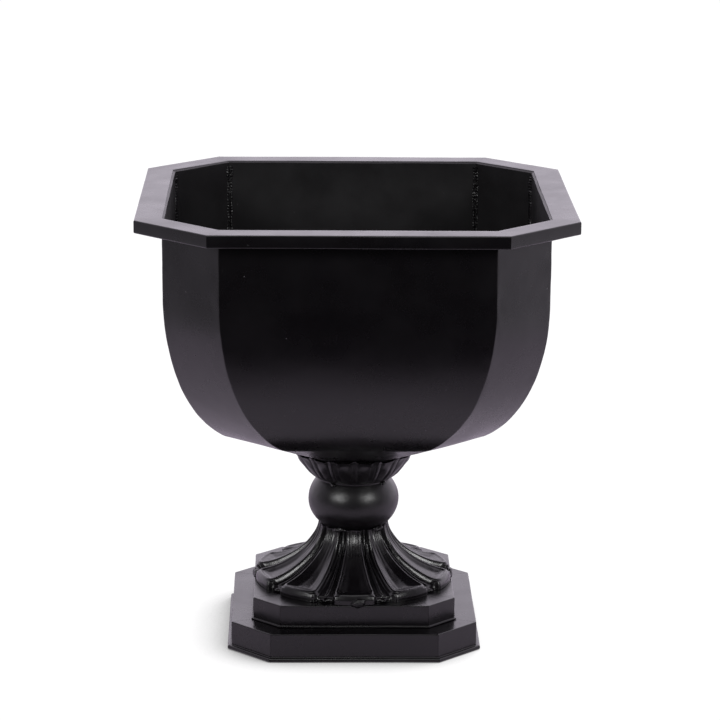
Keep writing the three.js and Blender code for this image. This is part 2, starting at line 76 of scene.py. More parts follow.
# %% [markdown]
# ## Shared tools for shape
# Sheet, tube and casting all become rings of points that are skinned with quads. A list of rings
# is easy to read and to bend: a warp that depends only on where a point lies moves neighbouring
# pieces together, so welded edges stay closed.

# %% Smooth steps and bells
def rise(low, high, value):
    t = np.clip((value - low) / (high - low), 0, 1)
    return t * t * (3 - 2 * t)


def bell(centre, width, value):
    return np.exp(-(((value - centre) / width) ** 2))


# %% Skinning rings with quads
def skin_faces(count, around, loop, cap):
    """Faces between rings. Seen from the first ring, each ring runs anticlockwise."""
    i = np.arange(count if loop else count - 1)[:, None]
    j = np.arange(around)[None, :]
    k = (j + 1) % around
    below = (i + 1) % count
    quads = np.stack([i * around + j, below * around + j, below * around + k, i * around + k], -1)
    faces = quads.reshape(-1, 4).tolist()
    if cap == "polygon":
        last = (count - 1) * around
        faces.append(list(range(around)))
        faces.append(list(range(last + around - 1, last - 1, -1)))
    if cap == "strip":
        for start, turn in ((0, 1), ((count - 1) * around, -1)):
            for j in range(around // 2 - 1):
                quad = [j, j + 1, around - 2 - j, around - 1 - j]
                faces.append([start + v for v in quad[::turn]])
    return faces


# %% The warp
# noise_vector shifts its field by offsets that come from the clock unless they are seeded.
NOISE_SEED = 7
noise.seed_set(NOISE_SEED)


def warp(points, amount, size, seed=0.0):
    """Moves points by a smooth random field. Amount (a number, or one a point) and size in mm."""
    shift = Vector((seed, 1.7 * seed, -2.3 * seed))
    moved = [noise.noise_vector(Vector(p) / size + shift) for p in points]
    return points + amount * np.array([tuple(v) for v in moved])


def piece_from(name, points, faces, sharp_degrees):
    mesh = bpy.data.meshes.new(name)
    mesh.from_pydata((np.asarray(points) * MM).tolist(), [], faces)
    mesh.polygons.foreach_set("use_smooth", [True] * len(mesh.polygons))
    mesh.set_sharp_from_angle(angle=math.radians(sharp_degrees))
    mesh.update()
    piece = bpy.data.objects.new(name, mesh)
    bpy.context.scene.collection.objects.link(piece)
    return piece


def skinned(name, rings, loop=False, cap=None, sharp_degrees=38, warps=()):
    """A piece from rings of points. Each warp is an amount and a size in mm, and a seed."""
    rings = np.asarray(rings, float)
    count, around = rings.shape[:2]
    points = rings.reshape(-1, 3)
    for amount, size, seed in warps:
        points = warp(points, amount, size, seed)
    points = np.clip(points, BOX_LOW, BOX_HIGH)
    return piece_from(name, points, skin_faces(count, around, loop, cap), sharp_degrees)


def turned(points, degrees):
    """The points turned round the axis."""
    c, s = math.cos(math.radians(degrees)), math.sin(math.radians(degrees))
    turn = np.array([[c, s, 0], [-s, c, 0], [0, 0, 1]])
    return np.asarray(points) @ turn


# %% Putting a piece in the place of its CAD node
def stand_in(piece, node, material):
    piece.data.materials.append(material)
    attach(piece, "root")
    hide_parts(node)
    return piece


# %% [markdown]
# ## Materials
# Satin alkyd enamel is a dielectric film: near-black colour, a refractive index of about 1.5 and a
# roughness near 0.3. The eye tells sheet, casting and weld apart by what lies under the film and
# by how glossy it dried, so the finishes share one recipe and differ in relief and gloss: orange
# peel on sheet and tube, sand grain on the castings, a coarse skin on the welds, and inside the
# bowl a dull, dry film where only overspray landed.

# %% Colour and node helpers
def linear(hex_colour):
    """An sRGB hex colour as linear RGBA."""
    channels = [int(hex_colour[i:i + 2], 16) / 255 for i in (1, 3, 5)]
    curve = [c / 12.92 if c <= 0.04045 else ((c + 0.055) / 1.055) ** 2.4 for c in channels]
    return (*curve, 1.0)


def add_node(tree, kind, inputs=None, **settings):
    node = tree.nodes.new(kind)
    for name, value in settings.items():
        setattr(node, name, value)
    for name, value in (inputs or {}).items():
        if isinstance(value, bpy.types.NodeSocket):
            tree.links.new(value, node.inputs[name])
        else:
            node.inputs[name].default_value = value
    return node


def per_metre(size_mm):
    """The texture scale that gives features of a real size."""
    return 1 / (size_mm * MM)


# %% The enamel recipe
ENAMEL_IOR = 1.5
FILM_BLACK = "#020102"
FILM_WORN = "#080609"
DUST = "#5a565d"
CLOUD_SIZE = 45
SPECK_RADII = (0.02, 0.06)
NIB_HEIGHT = 0.06
NIB_STRENGTH = 0.6


def enamel(name, roughness, spread, grain, swell, dust):
    """Satin black enamel. Grain and swell: size and height in mm. Dust: size in mm and share."""
    grain_size, grain_height = grain
    swell_size, swell_height = swell
    dust_size, dust_share = dust
    material = bpy.data.materials.new(name)
    material.use_nodes = True
    tree = material.node_tree
    tree.nodes.clear()
    place = add_node(tree, "ShaderNodeTexCoord").outputs["Object"]

    cloud = add_node(tree, "ShaderNodeTexNoise", {
        "Vector": place, "Scale": per_metre(CLOUD_SIZE), "Detail": 4.0, "Roughness": 0.6})
    fine = add_node(tree, "ShaderNodeTexNoise", {
        "Vector": place, "Scale": per_metre(grain_size), "Detail": 3.0, "Roughness": 0.6})
    broad = add_node(tree, "ShaderNodeTexNoise", {
        "Vector": place, "Scale": per_metre(swell_size), "Detail": 1.0})
    cells = add_node(tree, "ShaderNodeTexVoronoi", {
        "Vector": place, "Scale": per_metre(dust_size), "Randomness": 1.0})
    pick = add_node(tree, "ShaderNodeSeparateColor", {"Color": cells.outputs["Color"]})
    chosen = add_node(tree, "ShaderNodeMath", {
        0: pick.outputs["Red"], 1: 1 - dust_share}, operation="GREATER_THAN")
    size = add_node(tree, "ShaderNodeMapRange", {
        "Value": pick.outputs["Green"], "To Min": SPECK_RADII[0], "To Max": SPECK_RADII[1]})
    near = add_node(tree, "ShaderNodeMath", {
        0: size.outputs["Result"], 1: cells.outputs["Distance"]}, operation="GREATER_THAN")
    speck = add_node(tree, "ShaderNodeMath", {
        0: chosen.outputs[0], 1: near.outputs[0]}, operation="MULTIPLY")

    tone = add_node(tree, "ShaderNodeMix", {
        "Factor": cloud.outputs["Fac"], 6: linear(FILM_BLACK), 7: linear(FILM_WORN)},
        data_type="RGBA")
    faint = add_node(tree, "ShaderNodeMath", {
        0: speck.outputs[0], 1: pick.outputs["Blue"]}, operation="MULTIPLY")
    colour = add_node(tree, "ShaderNodeMix", {
        "Factor": faint.outputs[0], 6: tone.outputs[2], 7: linear(DUST)}, data_type="RGBA")
    polish = add_node(tree, "ShaderNodeMapRange", {
        "Value": cloud.outputs["Fac"], "From Min": 0.3, "From Max": 0.7,
        "To Min": roughness - spread, "To Max": roughness + spread})

    low = add_node(tree, "ShaderNodeBump", {
        "Height": broad.outputs["Fac"], "Distance": swell_height * MM, "Strength": 1.0})
    high = add_node(tree, "ShaderNodeBump", {
        "Height": fine.outputs["Fac"], "Distance": grain_height * MM, "Strength": 1.0,
        "Normal": low.outputs["Normal"]})
    nib = add_node(tree, "ShaderNodeBump", {
        "Height": speck.outputs[0], "Distance": NIB_HEIGHT * MM, "Strength": NIB_STRENGTH,
        "Normal": high.outputs["Normal"]})
    film = add_node(tree, "ShaderNodeBsdfPrincipled", {
        "Base Color": colour.outputs[2], "Roughness": polish.outputs["Result"],
        "IOR": ENAMEL_IOR, "Normal": nib.outputs["Normal"]})
    add_node(tree, "ShaderNodeOutputMaterial", {"Surface": film.outputs["BSDF"]})
    return material


# %% The finishes
SHEET_ENAMEL = enamel("satin_alkyd_enamel_on_sheet_iron", 0.28, 0.04,
                      grain=(1.4, 0.012), swell=(9, 0.03), dust=(9, 0.2))
SHEET_INSIDE = enamel("dry_alkyd_overspray_on_sheet_iron", 0.46, 0.05,
                      grain=(1.2, 0.03), swell=(7, 0.06), dust=(7, 0.3))
TUBE_ENAMEL = enamel("satin_alkyd_enamel_on_steel_tube", 0.29, 0.04,
                     grain=(1.1, 0.012), swell=(7, 0.03), dust=(8, 0.25))
CAST_ENAMEL = enamel("satin_alkyd_enamel_on_cast_iron", 0.28, 0.05,
                     grain=(0.9, 0.02), swell=(4, 0.06), dust=(6, 0.15))
SMOOTH_CAST_ENAMEL = enamel("satin_alkyd_enamel_on_a_smooth_casting", 0.37, 0.05,
                            grain=(1.2, 0.03), swell=(5, 0.08), dust=(7, 0.15))
WELD_ENAMEL = enamel("satin_alkyd_enamel_on_weld_metal", 0.34, 0.06,
                     grain=(1.0, 0.12), swell=(2.5, 0.35), dust=(5, 0.25))
FINISHES = (SHEET_ENAMEL, SHEET_INSIDE, TUBE_ENAMEL, CAST_ENAMEL, SMOOTH_CAST_ENAMEL, WELD_ENAMEL)
print("finishes:", [finish.name for finish in FINISHES])

# %% [markdown]
# ## The octagon
# Rim, bowl and plinth are all octagons with four wide sides and four corner sides. A side is
# described by its distance from the axis and half its length, and every part of it is drawn in the
# side's own frame (x outward, y along) and then turned into place.

# %% Sides of an octagon
MITRE = math.tan(math.pi / 8)


def octagon(half, cut):
    wide = (half, half - cut)
    corner = ((2 * half - cut) / math.sqrt(2), cut / math.sqrt(2))
    return wide, corner


def inset(outline, distance):
    return tuple((d - distance, h - distance * MITRE) for d, h in outline)


def arc(cx, cy, radius, start, end, steps):
    """Points on an arc, angles in degrees."""
    angles = np.radians(np.linspace(start, end, steps))
    return np.stack([cx + radius * np.cos(angles), cy + radius * np.sin(angles)], -1).tolist()


def bar_rings(section, distance, half_length, steps, gap):
    """A mitred length: the section (outward, up) runs anticlockwise and travels along y."""
    section = np.asarray(section, float)
    rings = []
    for share in np.linspace(-1, 1, steps):
        along = share * (half_length + section[:, 0] * MITRE - gap)
        rings.append(np.stack([distance + section[:, 0], along, section[:, 1]], -1))
    return np.array(rings)


# %% [markdown]
# ## Rim
# Eight lengths of 25 x 12 mm tube, mitred and welded, with the welds ground flush. Each length is
# a rounded rectangle swept along its side; the joints stay visible as hairlines.

# %% Rim lengths
RIM_LOW, RIM_HIGH = box_mm("rim_front")
RIM_HALF = -RIM_LOW[1]
RIM_TOP = RIM_HIGH[2]
RIM_HEIGHT = RIM_HIGH[2] - RIM_LOW[2]
RIM_WIDTH = RIM_HIGH[1] - RIM_LOW[1]
RIM_CORNER_CUT = 67
TUBE_ROUND = 1.5
TUBE_INNER_ROUND = 0.5
HAIRLINE = 0.03
RIM_STEPS = (48, 18)
RIM_WARPS = ((0.35, 130, 3.0), (0.1, 18, 5.0))
rim_outline = octagon(RIM_HALF, RIM_CORNER_CUT)


def rim_section():
    r = TUBE_ROUND
    w, h = RIM_WIDTH, RIM_HEIGHT
    flat_steps = 8
    bottom = [[x, 0] for x in np.linspace(r - w, -r, flat_steps)]
    top = [[x, h] for x in np.linspace(-r, r - w, flat_steps)]
    inner = TUBE_INNER_ROUND
    return (bottom[:-1] + arc(-r, r, r, -90, 0, 6) + arc(-r, h - r, r, 0, 90, 6) + top[1:-1]
            + arc(inner - w, h - inner, inner, 90, 180, 4) + arc(r - w, r, r, 180, 270, 6)[:-1])


for index, side in enumerate(SIDES):
    distance, half_length = rim_outline[index % 2]
    rings = bar_rings(rim_section(), distance, half_length, RIM_STEPS[index % 2], HAIRLINE)
    rings[:, :, 2] += RIM_TOP - RIM_HEIGHT
    rings = turned(rings, 45 * index)
    tube = skinned("rim_length_" + side, rings, cap="polygon", sharp_degrees=50, warps=RIM_WARPS)
    stand_in(tube, "rim_" + side, TUBE_ENAMEL)
print("rim half width and top, mm:", round(RIM_HALF, 2), round(RIM_TOP, 2))

# %% [markdown]
# ## Bowl
# Eight panels of 2 mm sheet hang upright from the rim, bend inward on an ellipse and run straight
# to a small octagonal floor. The corner welds are ground to a soft edge, so each panel here ends
# halfway round a 1.8 mm corner, where its neighbour takes over with the same normal. The top edge
# is dressed to a slope, 0.4 mm down outside and 1.6 mm inside, and stays clear of the rim's top.

# %% The bowl's profile
SHEET = 2
BOWL_FLOOR_HALF = 50
BOWL_STRAIGHT = 74
BEND_TURN = math.radians(67)
BEND_DRAW = (54, 77.5)
UNDERSIDE_RISE = 30.4
CORNER_ROUND = 1.8
MOUTH_GAP = 0.3
TOP_DRESSED = (0.4, 1.6)
DRESSED_ROW = 2.4
STRAIGHT_ROWS = 25
BOWL_BOTTOM = box_mm("bowl_front")[0][2]
BOWL_DEPTH = RIM_TOP - BOWL_BOTTOM
MOUTH = [distance for distance, _ in inset(rim_outline, RIM_WIDTH + MOUTH_GAP)]
BEND_HEIGHT = (BOWL_DEPTH - UNDERSIDE_RISE - BOWL_STRAIGHT) / math.sin(BEND_TURN)


def profile_of(kind):
    """Rows down one kind of side: depth below the rim, distance from the axis and slope."""
    draw = BEND_DRAW[kind]
    reach = draw / (1 - math.cos(BEND_TURN))
    knee = MOUTH[kind] - draw
    fall = math.atan2(knee - BOWL_FLOOR_HALF, UNDERSIDE_RISE)
    straight = np.linspace(DRESSED_ROW, BOWL_STRAIGHT, STRAIGHT_ROWS + 1)[:-1]
    rows = [(depth, MOUTH[kind], 0.0) for depth in [0, *straight]]
    for angle in np.linspace(0, BEND_TURN, 44):
        slope = math.atan2(reach * math.sin(angle), BEND_HEIGHT * math.cos(angle))
        depth = BOWL_STRAIGHT + BEND_HEIGHT * math.sin(angle)
        rows.append((depth, MOUTH[kind] - reach * (1 - math.cos(angle)), slope))
    for share in np.linspace(0, 1, 14)[1:]:
        rows.append((BOWL_DEPTH - UNDERSIDE_RISE * (1 - share),
                     knee - (knee - BOWL_FLOOR_HALF) * share, fall))
    return np.array(rows)


PROFILES = (profile_of(0), profile_of(1))


# %% [markdown]
# ## The inside of the bowl
# A spray gun held outside reaches the inside only with dry mist. The faces of a panel that look
# toward the axis therefore get the duller finish.

# %% The dry overspray inside
LOOKING_UP = 0.12


def inward_facing(panel, material):
    """Gives the faces that look toward the axis a second material."""
    panel.data.materials.append(material)
    for face in panel.data.polygons:
        centre = face.center
        middle = Vector((-centre.x, -centre.y, LOOKING_UP))
        if face.normal.dot(middle) > 0:
            face.material_index = 1


# %% Panels of the bowl
def across_panel(own, other, columns, corner_steps):
    """Outward, along and bend angle across one row of a panel, corner to corner."""
    r = CORNER_ROUND
    half = (other - r) * math.sqrt(2) - (own - r)
    flat = np.linspace(-half, half, columns)
    turn = np.radians(np.linspace(0, 22.5, corner_steps + 1))[1:]
    rounded = own - r + r * np.cos(turn)
    out = np.concatenate([rounded[::-1], np.full(columns, own), rounded])
    along = np.concatenate([(-half - r * np.sin(turn))[::-1], flat, half + r * np.sin(turn)])
    bend = np.concatenate([-turn[::-1], np.zeros(columns), turn])
    return out, along, bend


def panel_rings(kind, columns=30, corner_steps=5):
    rings = []
    for own, other in zip(PROFILES[kind], PROFILES[1 - kind]):
        depth = (own[0] + other[0]) / 2
        out, along, bend = across_panel(own[1], other[1], columns, corner_steps)
        share = np.abs(bend) / (math.pi / 4)
        slope = own[2] * (1 - share) + other[2] * share
        outer = np.stack([out, along, np.full(len(out), RIM_TOP - depth)], -1)
        normal = np.stack([np.cos(slope) * np.cos(bend), np.cos(slope) * np.sin(bend),
                           -np.sin(slope)], -1)
        inner = outer - SHEET * normal
        if depth == 0:
            outer[:, 2] -= TOP_DRESSED[0]
            inner[:, 2] -= TOP_DRESSED[1]
        rings.append(np.concatenate([outer, inner[::-1]]))
    return np.array(rings)


SHEET_WARPS = ((0.9, 150, 11.0), (0.4, 48, 13.0), (0.06, 12, 17.0))
GROUND_WARPS = ((0.3, 17, 61.0), (0.12, 6, 67.0))
GROUND_REACH = 9


def near_corner(rings):
    """1 on the ground corners of a panel, falling to almost 0 some 15 mm away."""
    half = np.abs(rings[:, :, 1]).max(axis=1, keepdims=True)
    return np.exp(-(((half - np.abs(rings[:, :, 1])) / GROUND_REACH) ** 2)).reshape(-1, 1)


for index, side in enumerate(SIDES):
    rings = panel_rings(index % 2)
    mask = near_corner(rings)
    rings = turned(rings, 45 * index)
    points = rings.reshape(-1, 3)
    for amount, size, seed in GROUND_WARPS:
        points = warp(points, amount * mask, size, seed)
    panel = skinned("bowl_panel_" + side, points.reshape(rings.shape), cap="strip",
                    sharp_degrees=55, warps=SHEET_WARPS)
    stand_in(panel, "bowl_" + side, SHEET_ENAMEL)
    inward_facing(panel, SHEET_INSIDE)
print("bowl depth, mm:", round(BOWL_DEPTH, 1), "quads in a panel:", len(panel.data.polygons))

# %% [markdown]
# ## Welds in the bowl's corners
# Inside, each corner keeps its weld: a bead that ripples where the welder paused, and that wavers
# in width and height on its way down. In some corners the weld is on the outside only, and inside
# the two lips of sheet stay open with a dark groove between them.

# %% Corner beads
BEAD_HALF = 3.4
BEAD_HEIGHT = 1.6
BEAD_LIFT = 0.35
BEAD_POINTS = 20
RIPPLE = 2.8
SPLIT_CORNERS = (3, 4, 7)


def corner_line():
    """Points down the inside of the corner after a wide side, the corner's bisector, and slope."""
    wide, corner = PROFILES
    keep = (wide[:, 0] > 3) & (wide[:, 0] < BOWL_DEPTH - UNDERSIDE_RISE + 1)
    slope = (wide[keep, 2] + corner[keep, 2]) / 2
    inner_wide = wide[keep, 1] - SHEET * np.cos(wide[keep, 2])
    inner_corner = corner[keep, 1] - SHEET * np.cos(corner[keep, 2])
    along = inner_corner * math.sqrt(2) - inner_wide
    height = RIM_TOP - wide[keep, 0] + SHEET * np.sin(slope)
    return np.stack([inner_wide, along, height], -1), slope


def bead_rings(seed, split):
    """A bead down a corner. A split one has a groove down its middle, where two lips stay open."""
    line, slope = corner_line()
    travel = np.concatenate([[0], np.cumsum(np.linalg.norm(np.diff(line, axis=0), axis=1))])
    fine = np.arange(0, travel[-1], RIPPLE / 4)
    path = np.stack([np.interp(fine, travel, line[:, i]) for i in range(3)], -1)
    slope = np.interp(fine, travel, slope)
    across = np.array([-math.sin(math.pi / 8), math.cos(math.pi / 8), 0])
    rings = []
    for place, lean, run in zip(path, slope, fine):
        inward = np.array([-math.cos(math.pi / 8) * math.cos(lean),
                           -math.sin(math.pi / 8) * math.cos(lean), math.sin(lean)])
        waver = 1 + 0.3 * noise.noise(Vector((run / 14, seed, 0)))
        pause = 1.2 * noise.noise(Vector((run / 9, 0, seed)))
        ripple = 1 + 0.16 * math.sin(2 * math.pi * run / RIPPLE + pause)
        side = 0.8 * noise.noise(Vector((run / 22, seed, 9)))
        ring = []
        for turn in np.linspace(0, 2 * math.pi, BEAD_POINTS, endpoint=False):
            wide = BEAD_HALF * waver * math.cos(turn) + side
            unsplit = 1 - split * 1.1 * math.exp(-(math.cos(turn) / 0.35) ** 2)
            crown = max(math.sin(turn), -0.5) * unsplit
            high = BEAD_HEIGHT * waver * ripple * crown
            ring.append(place + across * wide + inward * (high + BEAD_LIFT))
        rings.append(ring)
    return np.array(rings)


for number in range(8):
    rings = bead_rings(3.1 + number, number + 1 in SPLIT_CORNERS)
    if number % 2 == 1:
        rings = (rings * [1, -1, 1])[:, ::-1]
    rings = turned(rings, 90 * (number // 2))
    bead = skinned(f"corner_bead_{number + 1}", rings, cap="polygon", sharp_degrees=70,
                   warps=((0.5, 5, 2.0 + number), (0.25, 1.8, 4.0)))
    stand_in(bead, f"seam_weld_{number + 1}", WELD_ENAMEL)
print("corner beads: 8")

# %% [markdown]
# ## Bowl floor
# A small octagon of plate with a drain hole, dished a little by welding.

# %% Floor plate with its drain hole
PLATE_LOW, PLATE_HIGH = box_mm("bowl_floor")
PLATE_HALF = PLATE_HIGH[0]
DRAIN_RADIUS = 9
PLATE_COLUMNS = 96
PLATE_SOFT = 0.4


def plate_ring(share, height, angles):
    edge = PLATE_HALF / np.cos((angles + math.pi / 8) % (math.pi / 4) - math.pi / 8)
    radius = DRAIN_RADIUS + (edge - DRAIN_RADIUS) * share
    return np.stack([radius * np.cos(angles), radius * np.sin(angles), height + 0 * radius], -1)


plate_angles = np.linspace(0, 2 * math.pi, PLATE_COLUMNS, endpoint=False)
plate_rings = []
for share in [0.0, 0.03, 0.2, 0.4, 0.6, 0.8, 0.97, 1.0]:
    soft = PLATE_SOFT * (share in (0.0, 1.0))
    plate_rings.append(plate_ring(share, PLATE_HIGH[2] - soft, plate_angles))
for share in [1.0, 0.97, 0.5, 0.03, 0.0]:
    soft = PLATE_SOFT * (share in (0.0, 1.0))
    plate_rings.append(plate_ring(share, PLATE_LOW[2] + soft, plate_angles))
plate = skinned("bowl_floor_plate", plate_rings, loop=True, warps=((0.25, 30, 6.0),))
stand_in(plate, "bowl_floor", SHEET_ENAMEL)

# %% [markdown]
# ## Castings
# The foot, the knop and the leaf cup are sand castings. Ornament repeats round the axis, ten
# petals on the foot and eight leaves on the cup, so a function of "how far across the pitch" and
# "how far down the curve" draws each of them.

# %% Polar rings
FRONT = -math.pi / 2


def columns_round(repeats, per_repeat):
    """Angles round the axis and how far each lies across its pitch, -1 to 1."""
    step = 2 * math.pi / (repeats * per_repeat)
    angles = FRONT + np.arange(repeats * per_repeat) * step
    turns = (angles - FRONT) * repeats / (2 * math.pi)
    return angles, 2 * (turns - np.round(turns))


def polar(angles, radius, height):
    radius = radius + 0 * angles
    height = height + 0 * angles
    return np.stack([radius * np.cos(angles), radius * np.sin(angles), height], -1)


# %% [markdown]
# ## The petalled foot
# Ten petals flow down a hollow curve. Each has a narrow ridge along both sides and round its
# broad end, whose corners are rounded, and a dished face inside the ridge. Between two petals runs
# a groove with a thin dart, which ends in a small lump on the upright edge. Shallow flutes run
# down the neck.

# %% The foot's relief
PETALS = 10
FOOT_LOW, FOOT_HIGH = box_mm("foot")
FOOT_Z = FOOT_LOW[2]
FOOT_HEIGHT = FOOT_HIGH[2] - FOOT_LOW[2]
FOOT_RADIUS = 93
FOOT_NECK = 33.5
FOOT_EDGE = 10.5
FOOT_POWER = 2 / 1.7
FOOT_WALL = 6
FOOT_COLUMNS = 48
FOOT_ROWS = 128
FOOT_INSIDE = ((72, 9), (58, 15), (42, 28), (32, 42), (27.5, FOOT_HEIGHT))
TOE_ROUND = 3
PETAL_SHARE = 0.7
SHOULDER_DROP = 2.0


def foot_curve(t):
    reach = FOOT_RADIUS + TOE_ROUND - FOOT_NECK
    drop = FOOT_HEIGHT - FOOT_EDGE + 1
    last = math.acos((TOE_ROUND / reach) ** (1 / FOOT_POWER))
    radius = FOOT_RADIUS + TOE_ROUND - reach * np.cos(t * last) ** FOOT_POWER
    height = FOOT_HEIGHT - drop * np.sin(t * last) ** FOOT_POWER
    return radius, height


def foot_outline(x_from_petal, half_pitch):
    """How far the edge is drawn in between two petals, in mm."""
    petal = PETAL_SHARE * half_pitch
    return 5.0 * rise(petal - 2.5, petal + 1.8, x_from_petal)


def inside_rounded(side, end, corner):
    """How far a point lies inside an outline of two edges that meet in a rounded corner."""
    a, b = corner - side, corner - end
    return corner - np.hypot(np.maximum(a, 0), np.maximum(b, 0)) - np.minimum(np.maximum(a, b), 0)


def foot_relief(t, across):
    """Height of the surface above the hollow curve, in mm, never positive."""
    radius, _ = foot_curve(t)
    half_pitch = math.pi * radius / PETALS
    x = np.abs(across) * half_pitch
    side = half_pitch * PETAL_SHARE - x
    inside = inside_rounded(side, FOOT_RADIUS - 0.2 - radius, 2 + 6 * t)
    border = 2.0 + 0.8 * t
    roll = np.clip(1 - inside / border, 0, 1)
    shoulder = -SHOULDER_DROP * (1 - np.sqrt(1 - roll ** 2))
    drop = -(1.0 + 0.3 * t) * rise(border * 0.8, border + 2.0, inside)
    dish = -(0.5 + 2.0 * rise(0.1, 0.8, t)) * rise(border + 0.6, border + 3 + 8 * t, inside)
    trough = -1.6 * np.clip(1 - (x / (half_pitch * PETAL_SHARE - border)) ** 2, 0, 1)
    lower = rise(0.25, 0.6, t)
    face = trough * (1 - lower) + (drop + dish) * lower
    groove_depth = 1.7 + 2.4 * t
    groove = -groove_depth * rise(0, 1.1, -side)
    dart_half = 1.0 + 1.5 * rise(0.15, 0.9, t)
    dart_height = 0.75 * groove_depth * (1 - rise(0.965, 1.0, t))
    dart = dart_height * np.sqrt(np.clip(1 - ((half_pitch - x) / dart_half) ** 2, 0, 1))
    flutes = 0.24 * np.cos(2 * math.pi * x / 3.3) * rise(0.55, 0.2, t)
    return flutes + np.where(side > 0, shoulder + face, shoulder + groove + dart)


def foot_rings():
    angles, across = columns_round(PETALS, FOOT_COLUMNS)
    rings = []
    for t in np.linspace(0, 1, FOOT_ROWS):
        radius, height = foot_curve(t)
        step = 0.002
        r1, z1 = foot_curve(min(t + step, 1))
        r0, z0 = foot_curve(max(t - step, 0))
        lean = math.atan2(r1 - r0, z0 - z1)
        relief = foot_relief(t, across)
        half_pitch = math.pi * radius / PETALS
        draw = foot_outline(np.abs(across) * half_pitch, half_pitch) * rise(0.6, 1, t)
        rings.append(polar(angles, radius - draw + relief * math.cos(lean),
                           FOOT_Z + height + relief * math.sin(lean)))
    half_pitch = math.pi * FOOT_RADIUS / PETALS
    from_dart = (1 - np.abs(across)) * half_pitch
    draw = foot_outline(np.abs(across) * half_pitch, half_pitch)
    top = rings[-1][:, 2] - FOOT_Z
    for share in np.linspace(0.94, 0, 14):
        height = top * share
        lump = 3.4 * bell(0, 2.6, from_dart) * bell(0.62, 0.34, share)
        curl = 0.9 * bell(1.9, 1.1, from_dart) * bell(0.72, 0.14, share)
        toe = 0.7 * rise(0.25, 0, share)
        belly = 1.1 * math.sin(math.pi * min(share + 0.05, 1))
        edge = FOOT_RADIUS - draw + lump - curl + toe + belly
        rings.append(polar(angles, edge, FOOT_Z + height))
    inner = FOOT_RADIUS - FOOT_WALL
    for radius, height in ((inner, 0), (inner, 5), *FOOT_INSIDE):
        rings.append(polar(angles, radius, FOOT_Z + height))
    return rings


foot = skinned("petalled_foot", foot_rings(), loop=True, sharp_degrees=75,
               warps=((0.3, 22, 21.0), (0.08, 5, 23.0)))
stand_in(foot, "foot", CAST_ENAMEL)
print("foot quads:", len(foot.data.polygons))

# %% [markdown]
# ## The knop
# A hollow cast ball, a little flattened. It is turned from an arc and warped by a fraction of a
# millimetre, because a perfect ball would show perfect highlights.

# %% Knop
KNOP_LOW, KNOP_HIGH = box_mm("knop")
KNOP_Z = KNOP_LOW[2]
KNOP_HEIGHT = KNOP_HIGH[2] - KNOP_LOW[2]
KNOP_RADIUS = 43
KNOP_MIDDLE = 23.7
KNOP_HALF_BULGE = 34
KNOP_WALL = 5


def knop_rings(columns=120):
    angles = np.linspace(0, 2 * math.pi, columns, endpoint=False)
    low = -math.asin(KNOP_MIDDLE / KNOP_HALF_BULGE)
    high = math.asin((KNOP_HEIGHT - KNOP_MIDDLE) / KNOP_HALF_BULGE)
    rings = []
    for turn in np.linspace(high, low, 56):
        rings.append(polar(angles, KNOP_RADIUS * math.cos(turn),
                           KNOP_Z + KNOP_MIDDLE + KNOP_HALF_BULGE * math.sin(turn)))
    for turn in np.linspace(low, high, 14):
        rings.append(polar(angles, (KNOP_RADIUS - KNOP_WALL) * math.cos(turn),
                           KNOP_Z + KNOP_MIDDLE + KNOP_HALF_BULGE * math.sin(turn)))
    return rings


knop = skinned("knop_ball", knop_rings(), loop=True, warps=((0.35, 26, 31.0), (0.08, 6, 33.0)))
stand_in(knop, "knop", SMOOTH_CAST_ENAMEL)

# %% [markdown]
# ## The leaf cup
# Eight short leaves spread from a plain collar to hold the bowl's sloping underside. A narrow
# double rib runs up the middle of each leaf, and a soft fold lies where two leaves meet; both end
# in a nub that touches the bowl. The leaf's edge dips between them, which leaves a row of dark
# slots under the bowl.

# %% Leaf cup
CUP_LOW, _ = box_mm("leaf_cup")
CUP_Z = CUP_LOW[2]
CUP_LEDGE_HEIGHT = 27
CUP_NECK = 34.6
CUP_TOP = 57.5
CUP_COLLAR = 1.5
CUP_SPREAD = 0.62
CUP_COLUMNS = 56
CUP_ROWS = 64
CUP_INSIDE = ((16, 0), (16, 4.5), (30, 4.5), (45, 14), (45, CUP_LEDGE_HEIGHT))
LEAVES = 8
LEAF_DIP = 2.6


def underside_at(x, y):
    """Height of the bowl's sloping underside above its floor."""
    heights = [np.zeros_like(x)]
    for index in range(8):
        run = MOUTH[index % 2] - BEND_DRAW[index % 2] - BOWL_FLOOR_HALF
        angle = index * math.pi / 4
        outward = x * math.cos(angle) + y * math.sin(angle)
        heights.append((outward - BOWL_FLOOR_HALF) * UNDERSIDE_RISE / run)
    return np.max(heights, axis=0)


